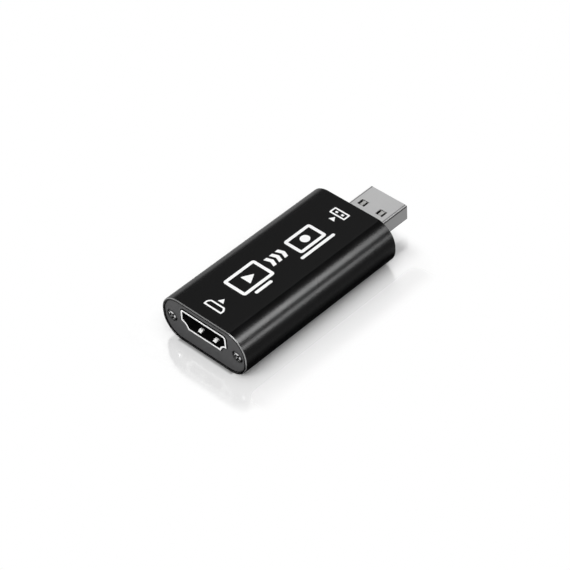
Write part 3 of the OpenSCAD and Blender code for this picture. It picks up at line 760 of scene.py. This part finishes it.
def modify(node, name, kind, **settings):
    """Add one modifier with its settings."""
    made = node.modifiers.new(name, kind)
    for key, value in settings.items():
        setattr(made, key, value)


def soften(node, edge):
    """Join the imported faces, shade the curved ones smooth and round the sharp edges."""
    modify(node, "join_faces", "WELD", merge_threshold=WELD_REACH)
    modify(node, "merge_flat", "DECIMATE", decimate_type="DISSOLVE", angle_limit=FLAT_ANGLE)
    modify(node, "smooth", "NODES", node_group=smooth_group())
    modify(node, "round_edges", "BEVEL", width=edge, segments=2, limit_method="ANGLE",
           angle_limit=CREASE_ANGLE, use_clamp_overlap=False, loop_slide=False,
           harden_normals=True)


def dress(names, finish, group):
    """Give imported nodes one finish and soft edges, as a property group says."""
    material = finish(group)
    for name in names:
        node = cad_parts[name]
        node.material_slots[0].material = material
        soften(node, group.edge)


# Lid pictograms, drawn in millimetres along X and Y

def rounded(corners, radius, steps):
    """Closed outline through the corners, with each corner turned into an arc."""
    outline = []
    for index, corner in enumerate(corners):
        here = Vector(corner)
        back = Vector(corners[index - 1]) - here
        ahead = Vector(corners[(index + 1) % len(corners)]) - here
        reach = min(radius, SIDE_SHARE * back.length, SIDE_SHARE * ahead.length)
        start = here + back.normalized() * reach
        stop = here + ahead.normalized() * reach
        for step in range(steps + 1):
            t = step / steps
            outline.append((1 - t) ** 2 * start + 2 * t * (1 - t) * here + t ** 2 * stop)
    return outline


def rectangle(place, size):
    """Four corners of an upright rectangle round its middle."""
    u, v = place
    half_u, half_v = size[0] / 2, size[1] / 2
    return [(u - half_u, v - half_v), (u + half_u, v - half_v),
            (u + half_u, v + half_v), (u - half_u, v + half_v)]


def mirrored(half):
    """Corners of an outline from those of its lower half."""
    return half + [(u, -v) for u, v in reversed(half)]


def frame_shape(place, size, stroke, radius, steps):
    """Rounded rectangular frame: an outside and the hole in it."""
    inside = (size[0] - 2 * stroke, size[1] - 2 * stroke)
    return [rounded(rectangle(place, size), radius, steps),
            rounded(rectangle(place, inside), max(LEAST_CORNER, radius - stroke), steps)]


def disc(place, radius, steps):
    """Round dot."""
    count = 4 * steps
    turn = 2 * math.pi / count
    return [[Vector((place[0] + radius * math.cos(turn * i),
                     place[1] + radius * math.sin(turn * i))) for i in range(count)]]


def triangle(place, length, height, radius, steps):
    """Triangle that points along +X."""
    u, v = place
    tail = u - length / 2
    corners = [(tail, v - height / 2), (u + length / 2, v), (tail, v + height / 2)]
    return [rounded(corners, radius, steps)]


def chevron(place, length, height, stroke, steps):
    """Angled stroke that points along +X."""
    u, v = place
    tail, tip = u - length / 2, u + length / 2
    low, high = v - height / 2, v + height / 2
    slant = stroke * CHEVRON_SLANT
    corners = [(tail, low), (tail + slant, low), (tip, v),
               (tail + slant, high), (tail, high), (tip - slant, v)]
    return [rounded(corners, CHEVRON_CORNER, steps)]


def device(place, size, sign, foot_length, design):
    """Framed display with a sign in it and a foot below it."""
    steps = design.arc_steps
    foot_place = (place[0], place[1] - size[1] / 2 - FOOT_GAP - FOOT / 2)
    return [
        frame_shape(place, size, design.stroke / MM, CORNER, steps),
        sign,
        [rounded(rectangle(foot_place, (foot_length, FOOT)), FOOT / 2, steps)],
    ]


def picture_shapes(design):
    """A screen with a play sign, three chevrons, and a laptop with a recording dot."""
    stroke = design.stroke / MM
    steps = design.arc_steps
    screen = [side / MM for side in design.screen_size]
    laptop = [side / MM for side in design.laptop_size]
    rise = (FOOT_GAP + FOOT) / 2
    screen_at = (SCREEN_X, rise)
    laptop_at = (LAPTOP_X, rise - (screen[1] - laptop[1]) / 2)
    play = triangle((SCREEN_X + PLAY_SHIFT, rise), PLAY_LENGTH, SIGN_HEIGHT, PLAY_CORNER, steps)
    record = disc(laptop_at, RECORD_RADIUS, steps)
    shapes = device(screen_at, screen, play, SCREEN_FOOT, design)
    shapes += device(laptop_at, laptop, record, LAPTOP_FOOT, design)
    for index in (-1, 0, 1):
        place = (CHEVRON_PITCH * index, rise)
        shapes.append(chevron(place, CHEVRON_LENGTH, SIGN_HEIGHT, stroke, steps))
    return shapes


def input_shapes(design):
    """Outline of the socket's mouth with a sign that points into the stick."""
    steps = design.arc_steps
    return [
        [rounded(mirrored(MOUTH), MOUTH_CORNER, steps),
         rounded(mirrored(HOLLOW), HOLLOW_CORNER, steps)],
        triangle((ARROW_PLACE, 0.0), *ARROW, steps),
    ]


def output_shapes(design):
    """Outline of the plug's shell with its two holes, and a sign that points out of the stick."""
    steps = design.arc_steps
    shapes = [
        triangle((-ARROW_PLACE, 0.0), *ARROW, steps),
        frame_shape((SHELL_X, 0.0), SHELL, SHELL_STROKE, SHELL_CORNER, steps),
    ]
    for v in (-SHELL_HOLE_Y, SHELL_HOLE_Y):
        hole = rectangle((SHELL_X, v), SHELL_HOLE)
        shapes.append([rounded(hole, SHELL_HOLE_CORNER, steps)])
    return shapes


def scene_object(name, data):
    """New object in the scene."""
    made = bpy.data.objects.new(name, data)
    bpy.context.scene.collection.objects.link(made)
    return made


def mesh_object(name, build, material):
    """New object in the scene from a finished mesh."""
    mesh = bpy.data.meshes.new(name)
    build.to_mesh(mesh)
    build.free()
    mesh.materials.append(material)
    return scene_object(name, mesh)


def ink_piece(name, shapes, place, design, material):
    """A thin printed layer on the lid, one closed solid for each shape."""
    build = bmesh.new()
    levels = (LID_Z, LID_Z + design.ink_thickness)
    for loops in shapes:
        flat = [[Vector((place[0] + p.x * MM, place[1] + p.y * MM, 0.0)) for p in loop]
                for loop in loops]
        low, high = [
            [build.verts.new((p.x, p.y, level)) for loop in flat for p in loop]
            for level in levels]
        for a, b, c in tessellate_polygon(flat):
            build.faces.new((high[a], high[b], high[c]))
            build.faces.new((low[c], low[b], low[a]))
        start = 0
        for loop in flat:
            for i in range(len(loop)):
                a = start + i
                b = start + (i + 1) % len(loop)
                build.faces.new((low[a], low[b], high[b], high[a]))
            start += len(loop)
    bmesh.ops.recalc_face_normals(build, faces=build.faces)
    piece = mesh_object(name, build, material)
    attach(piece, STICK)


# Studio

def view_back(studio):
    """Unit vector from the camera's target back to the camera."""
    azimuth, elevation = studio.camera_azimuth, studio.camera_elevation
    level = math.cos(elevation)
    return Vector((math.sin(azimuth) * level, -math.cos(azimuth) * level, math.sin(elevation)))


def aimed(place, side, away):
    """Matrix for a camera or lamp at a place, with its X along side and its back along away."""
    turn = Matrix((side, away.cross(side), away)).transposed()
    return Matrix.Translation(place) @ turn.to_4x4()


def studio_camera(studio):
    """Camera at the photograph's angle."""
    data = bpy.data.cameras.new("camera")
    data.lens = studio.camera_lens
    data.sensor_width = FRAME_WIDTH
    data.clip_start = NEAREST
    camera = scene_object("camera", data)
    back = view_back(studio)
    right = Vector((0.0, 0.0, 1.0)).cross(back).normalized()
    right.rotate(Quaternion(back, studio.camera_roll))
    place = Vector(studio.camera_target) + back * studio.camera_distance
    camera.matrix_world = aimed(place, right, back)
    bpy.context.scene.camera = camera


def area_lamp(name, centre, size, power):
    """Rectangular lamp that faces the sleeve's middle, with its first side along X."""
    data = bpy.data.lights.new(name, "AREA")
    data.shape = "RECTANGLE"
    data.size, data.size_y = size
    data.energy = power
    lamp = scene_object(name, data)
    place = Vector(centre)
    away = (place - SLEEVE_MIDDLE).normalized()
    side = Vector((1.0, 0.0, 0.0))
    side = (side - away * side.dot(away)).normalized()
    lamp.matrix_world = aimed(place, side, away)
    lamp.visible_camera = False
    return lamp


def sleeve_only():
    """Collection that lets a lamp light the sleeve and nothing else."""
    lit = bpy.data.collections.new("lit_by_strips")
    lit.objects.link(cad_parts["housing_sleeve"])
    return lit


def strip_lamp(studio, lit, name, band, spread):
    """Strip lamp whose reflection lies along the round side, at an angle from the top."""
    back = view_back(studio)
    lean = 2 * band - math.atan2(-back.y, back.z)
    reach = studio.strip_reach
    along = -back.x / math.hypot(back.y, back.z) * reach * STRIP_AHEAD
    centre = SLEEVE_MIDDLE + Vector((along, -reach * math.sin(lean), reach * math.cos(lean)))
    width = 2 * reach * math.tan(spread / 2)
    lamp = area_lamp(name, centre, (studio.strip_length, width), getattr(studio, name + "_power"))
    lamp.visible_diffuse = False
    lamp.light_linking.receiver_collection = lit


def pale_floor(studio):
    """Floor that keeps the shadow and a faint reflection, and turns white further out.

    A painted contact shadow darkens it where the sleeve meets it, and it is duller on the stick's
    right.
    Reflections in the stick show a painted dark card right beside it, a painted reflection of shade
    that keeps its lower edges dark.
    """
    paint = Surface("pale_floor", {"IOR": FLOOR_IOR})
    x, y, _ = paint.axes(paint.place)
    half = (SLEEVE_HI - SLEEVE_LO) / 2 / MM
    off_x = (abs(x - SLEEVE_MIDDLE.x / MM) - half.x).at_least(0.0)
    off_y = (abs(y) - half.y).at_least(0.0)
    out = distance(off_x, off_y)
    # Painted contact shadow where the sleeve meets the floor.
    off_strip = (abs(y) - studio.contact_width / 2 / MM).at_least(0.0)
    clear = paint.ramp(distance(off_x, off_strip), 0.0, studio.contact_shadow_reach / MM)
    paint.feed("Base Color", paint.mottle(clear, studio.floor_colour, CONTACT_SHADE, 1.0))
    dull = paint.ramp(-half.y - y, DULL_START, DULL_REACH)
    dull = dull * (1.0 - paint.ramp(off_x, 0.0, DULL_REACH))
    paint.feed("Roughness", FLOOR_ROUGHNESS + FLOOR_DULL * dull)
    far, off_card = [
        paint.ramp(out, FADE_START * reach / MM, reach / MM)
        for reach in (studio.floor_fade, studio.card_reach)]
    camera = paint.node("ShaderNodeLightPath", output="Is Camera Ray")
    glossy = camera.other("Is Glossy Ray")
    seen = camera + glossy + camera.other("Is Transmission Ray")
    # Painted reflection of shade: glossy rays near the sleeve see a dark card.
    on_shade_card = glossy * (1.0 - off_card)
    matt, card = [
        paint.node("ShaderNodeBsdfDiffuse", inputs={"Color": colour})
        for colour in (studio.floor_colour, studio.shade_card_colour)]
    white = paint.node("ShaderNodeEmission", inputs={"Color": (1.0, 1.0, 1.0)})
    polished = paint.mix(camera, paint.mix(on_shade_card, matt, card), paint.shader)
    share = seen * (FLOOR_GLOW + (1.0 - FLOOR_GLOW) * far) * (1.0 - on_shade_card)
    paint.show(paint.mix(share, polished, white))
    return paint.material


def studio_floor(studio):
    """Round floor just under the stick."""
    build = bmesh.new()
    bmesh.ops.create_circle(
        build, cap_ends=True, segments=FLOOR_SEGMENTS, radius=studio.floor_radius)
    floor = mesh_object("floor", build, pale_floor(studio))
    floor.location.z = -FLOOR_GAP


def studio_dome(studio):
    """World light: pale walls near the horizon and a dim ceiling."""
    world = bpy.data.worlds.new("studio")
    world.use_nodes = True
    bpy.context.scene.world = world
    graph = Graph(world.node_tree, "ShaderNodeOutputWorld")
    height = graph.axes(graph.node("ShaderNodeTexCoord", output="Generated"))[2]
    overhead = graph.ramp(height, CEILING_START, CEILING_STOP)
    tone = graph.blend(overhead, studio.dome_low, studio.dome_high)
    graph.show(graph.node("ShaderNodeBackground", inputs={"Color": tone}))


# Operators

class DressSleeve(bpy.types.Operator):
    """Give the housing sleeve its black anodised finish"""

    bl_idname = "capture_stick.dress_sleeve"
    bl_label = "Sleeve"

    def execute(self, context):
        dress(["housing_sleeve"], anodised_black, context.scene.capture_body)
        return {"FINISHED"}


class DressCovers(bpy.types.Operator):
    """Give both end covers their blasted grey finish"""

    bl_idname = "capture_stick.dress_covers"
    bl_label = "End covers"

    def execute(self, context):
        dress(["input_cover", "output_cover"], blasted_grey, context.scene.capture_body)
        return {"FINISHED"}


class DressScrews(bpy.types.Operator):
    """Give the cover screws their black oxide finish"""

    bl_idname = "capture_stick.dress_screws"
    bl_label = "Cover screws"

    def execute(self, context):
        names = ["input_cover_screws", "output_cover_screws"]
        dress(names, black_oxide, context.scene.capture_body)
        return {"FINISHED"}


class DressSocket(bpy.types.Operator):
    """Give the video socket its bright shell and black tongue"""

    bl_idname = "capture_stick.dress_socket"
    bl_label = "Video socket"

    def execute(self, context):
        connector = context.scene.capture_connector
        dress(["socket_shell"], bright_socket, connector)
        dress(["socket_insulator"], tongue_plastic, connector)
        return {"FINISHED"}


class DressSprings(bpy.types.Operator):
    """Give the four spring fingers of the socket their tinned finish"""

    bl_idname = "capture_stick.dress_springs"
    bl_label = "Spring fingers"

    def execute(self, context):
        names = ["socket_spring_%s_%s" % (row, side)
                 for row in ("top", "bottom") for side in ("left", "right")]
        dress(names, bright_spring, context.scene.capture_connector)
        return {"FINISHED"}


class DressPlug(bpy.types.Operator):
    """Give the data plug its nickel shell and pale insulator"""

    bl_idname = "capture_stick.dress_plug"
    bl_label = "Data plug"

    def execute(self, context):
        connector = context.scene.capture_connector
        dress(["plug_shell"], satin_nickel, connector)
        dress(["plug_insulator"], insulator_plastic, connector)
        return {"FINISHED"}


class DressContacts(bpy.types.Operator):
    """Give the contacts of the socket and the plug their gold finish"""

    bl_idname = "capture_stick.dress_contacts"
    bl_label = "Contacts"

    def execute(self, context):
        names = ["socket_contacts_upper", "socket_contacts_lower", "plug_contacts"]
        dress(names, gold_contact, context.scene.capture_connector)
        return {"FINISHED"}


class DressBoard(bpy.types.Operator):
    """Give the circuit board its lacquer, tracks and fibre edges"""

    bl_idname = "capture_stick.dress_board"
    bl_label = "Circuit board"

    def execute(self, context):
        dress(["circuit_board"], lacquered_board, context.scene.capture_board)
        return {"FINISHED"}


class DressChips(bpy.types.Operator):
    """Give the chips their black resin and their tinned leads"""

    bl_idname = "capture_stick.dress_chips"
    bl_label = "Chips"

    def execute(self, context):
        board = context.scene.capture_board
        bodies = ["capture_chip", "memory_chip", "voltage_regulators", "surge_arrays"]
        dress(bodies, moulded_chip, board)
        leads = ["capture_chip_leads", "memory_chip_leads", "voltage_regulator_leads"]
        dress(leads, tinned, board)
        return {"FINISHED"}


class DressSmallParts(bpy.types.Operator):
    """Give the crystal, capacitors and resistors their finishes"""

    bl_idname = "capture_stick.dress_small_parts"
    bl_label = "Small components"

    def execute(self, context):
        board = context.scene.capture_board
        dress(["crystal_base", "capacitor_bodies"], fired_ceramic, board)
        dress(["resistor_bodies"], moulded_chip, board)
        dress(["crystal_lid", "capacitor_ends", "resistor_ends"], tinned, board)
        return {"FINISHED"}


class PrintLid(bpy.types.Operator):
    """Print the white pictograms on the lid"""

    bl_idname = "capture_stick.print_lid"
    bl_label = "Lid print"

    def execute(self, context):
        design = context.scene.capture_print
        ink = white_ink(design)
        ink_piece("picture_print", picture_shapes(design), design.picture_place, design, ink)
        ink_piece("input_print", input_shapes(design), design.input_place, design, ink)
        ink_piece("output_print", output_shapes(design), design.output_place, design, ink)
        return {"FINISHED"}


class SetStage(bpy.types.Operator):
    """Set up the floor, the lamps, the world light and the camera"""

    bl_idname = "capture_stick.set_stage"
    bl_label = "Studio"

    def execute(self, context):
        studio = context.scene.capture_studio
        studio_camera(studio)
        studio_floor(studio)
        studio_dome(studio)
        for name, (centre, size) in SOFT_LAMPS.items():
            area_lamp(name, centre, size, getattr(studio, name + "_power"))
        lit = sleeve_only()
        for name, (band, spread) in STRIP_LAMPS.items():
            strip_lamp(studio, lit, name, math.radians(band), math.radians(spread))
        context.scene.view_settings.view_transform = "Standard"
        return {"FINISHED"}


OPERATORS = (
    DressSleeve, DressCovers, DressScrews, DressSocket, DressSprings, DressPlug,
    DressContacts, DressBoard, DressChips, DressSmallParts, PrintLid, SetStage,
)

GROUPS = {
    "capture_body": BodyFinish,
    "capture_connector": ConnectorFinish,
    "capture_board": BoardFinish,
    "capture_print": LidPrint,
    "capture_studio": StudioSetup,
}


class CapturePanel(bpy.types.Panel):
    """Lists the operators and the finishes of the capture stick"""

    bl_idname = "VIEW3D_PT_capture_stick"
    bl_label = "Capture stick"
    bl_space_type = "VIEW_3D"
    bl_region_type = "UI"
    bl_category = "Capture stick"

    def draw(self, context):
        for operator in OPERATORS:
            self.layout.operator(operator.bl_idname)
        for name in GROUPS:
            box = self.layout.box()
            group = getattr(context.scene, name)
            for prop in group.bl_rna.properties:
                if not prop.is_readonly and prop.identifier != "name":
                    box.prop(group, prop.identifier)


def register():
    for group in GROUPS.values():
        bpy.utils.register_class(group)
    for name, group in GROUPS.items():
        setattr(bpy.types.Scene, name, PointerProperty(type=group))
    for operator in OPERATORS:
        bpy.utils.register_class(operator)
    bpy.utils.register_class(CapturePanel)


def unregister():
    bpy.utils.unregister_class(CapturePanel)
    for operator in reversed(OPERATORS):
        bpy.utils.unregister_class(operator)
    for name in GROUPS:
        delattr(bpy.types.Scene, name)
    for group in reversed(list(GROUPS.values())):
        bpy.utils.unregister_class(group)


def main():
    """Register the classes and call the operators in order."""
    register()
    for operator in OPERATORS:
        getattr(bpy.ops.capture_stick, operator.bl_idname.split(".")[1])()


if __name__ == "__main__":
    main()
